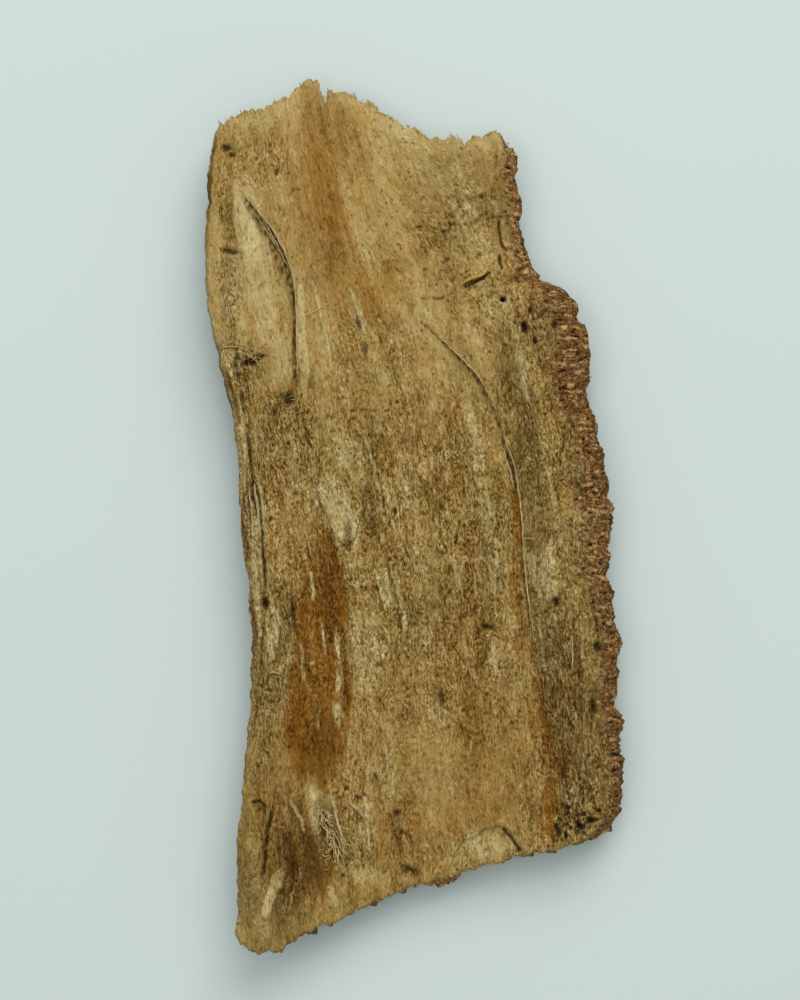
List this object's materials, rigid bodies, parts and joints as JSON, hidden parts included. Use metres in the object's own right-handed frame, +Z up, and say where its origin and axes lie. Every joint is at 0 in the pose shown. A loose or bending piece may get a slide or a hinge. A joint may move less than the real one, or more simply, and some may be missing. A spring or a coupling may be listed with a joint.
{
  "type": "piece of bark",
  "caption": "Broken slab of tree bark lying on its outer face, a shallow trough with the fibrous inner face up, one frayed end and one torn red-brown rim.",
  "frame": {"origin": "centre of the slab's outline seen from above, on the surface that it rests on", "axes": "+Z up through the inner face, +Y along the grain towards the thin frayed end, +X across the grain towards the torn outer-bark rim"},
  "size_m": [0.0832, 0.1736, 0.0169],
  "materials": {
    "bark": "matte dry bast fibre over red-brown outer bark"
  },
  "bodies": {
    "root": {"bark": "bark"}
  },
  "joints": []
}
